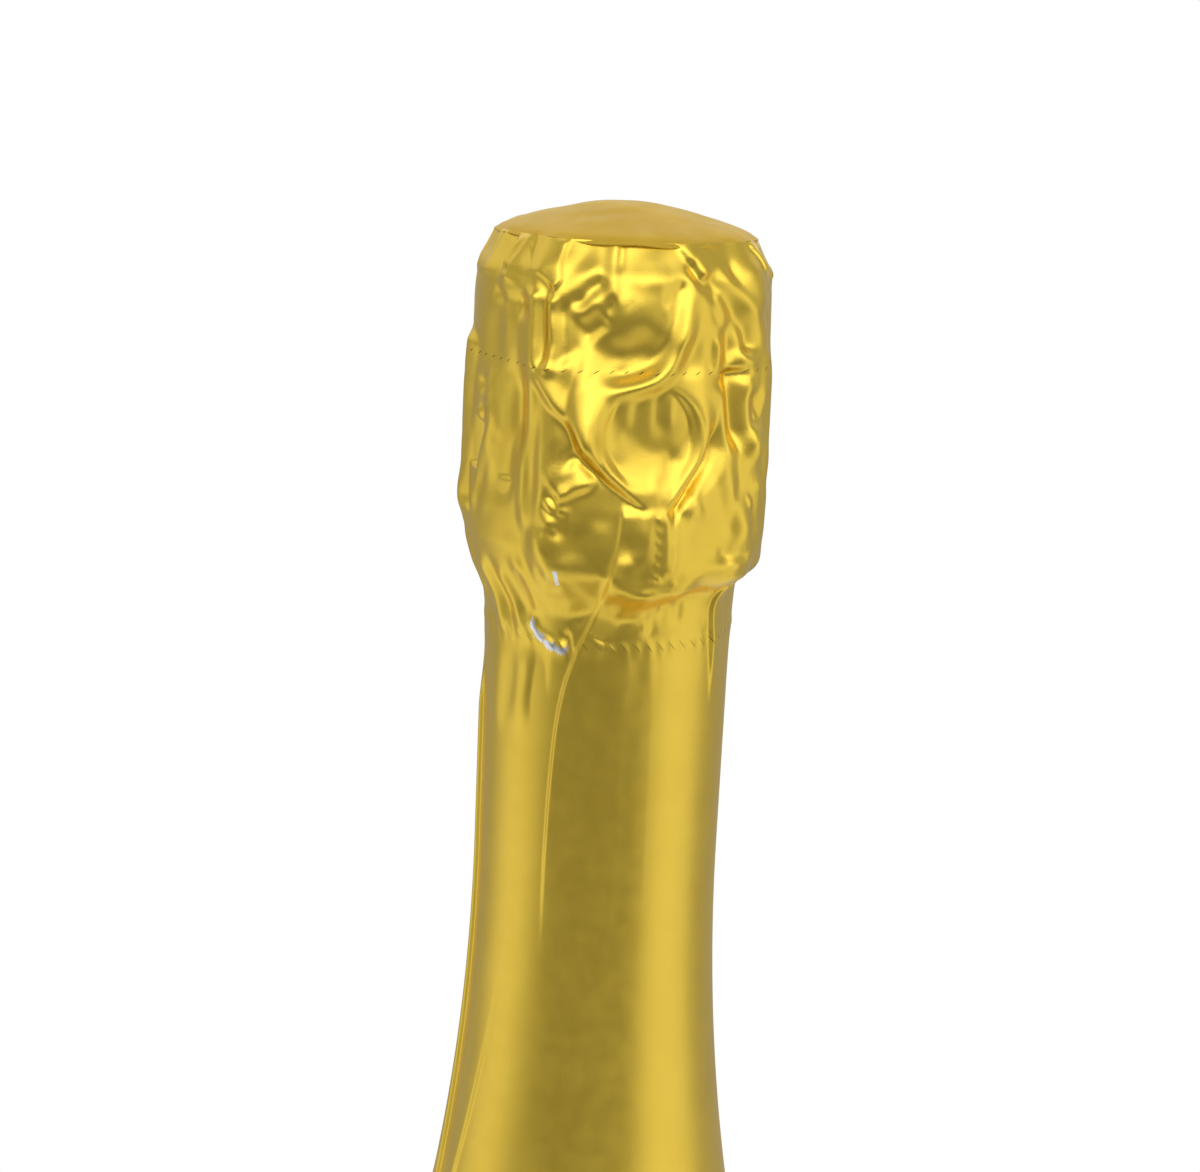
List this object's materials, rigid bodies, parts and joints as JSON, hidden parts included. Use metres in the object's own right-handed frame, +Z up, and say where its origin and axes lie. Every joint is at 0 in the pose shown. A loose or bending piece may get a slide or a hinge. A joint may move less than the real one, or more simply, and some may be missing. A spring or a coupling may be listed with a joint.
{
  "type": "champagne bottle",
  "caption": "Sealed sparkling wine bottle: dark glass with a punt, mushroom cork held by a twisted wire hood, and a pleated gold foil capsule with tear lines.",
  "frame": {"origin": "centre of the base, on the surface that the bottle stands on", "axes": "+Z up along the bottle's axis to the top of the foil, -Y towards the front of the picture, +X right"},
  "size_m": [0.0884, 0.0884, 0.3204],
  "materials": {
    "green_glass": "polished",
    "gold_foil": "satin",
    "agglomerate_cork": "matt",
    "natural_cork": "matt",
    "gilt_plaque": "satin",
    "steel_wire": "bright drawn"
  },
  "bodies": {
    "bottle": {"glass_bottle": "green_glass", "foil_neck_sleeve": "gold_foil"},
    "cork": {"cork_body": "agglomerate_cork", "cork_disc_upper": "natural_cork", "cork_disc_lower": "natural_cork"},
    "wire_hood": {"plaque": "gilt_plaque", "wire_cap_ring": "steel_wire", "wire_leg_1": "steel_wire", "wire_leg_2": "steel_wire", "wire_leg_3": "steel_wire", "wire_leg_4": "steel_wire", "wire_belt": "steel_wire"},
    "twist_loop": {"wire_twist_loop": "steel_wire"},
    "foil_hood": {"foil_disc": "gold_foil", "foil_crown": "gold_foil", "foil_tear_band": "gold_foil"}
  },
  "joints": [
    {"name": "cork_slide", "type": "slide", "parent": "bottle", "child": "cork", "axis": [0, 0, 1], "range_m": [0, 0.04]},
    {"name": "hood_slide", "type": "slide", "parent": "cork", "child": "wire_hood", "axis": [0, 0, 1], "range_m": [0, 0.045], "deforming": ["wire_leg_1", "wire_leg_2", "wire_leg_3", "wire_leg_4", "wire_belt"]},
    {"name": "foil_slide", "type": "slide", "parent": "wire_hood", "child": "foil_hood", "axis": [0, 0, 1], "range_m": [0, 0.055], "deforming": ["foil_tear_band"]},
    {"name": "loop_fold", "type": "hinge", "parent": "wire_hood", "child": "twist_loop", "pos_m": [0.00497, -0.01732, 0.2797], "axis": [0.9613, 0.2756, 0], "range_deg": [0, 90]}
  ]
}
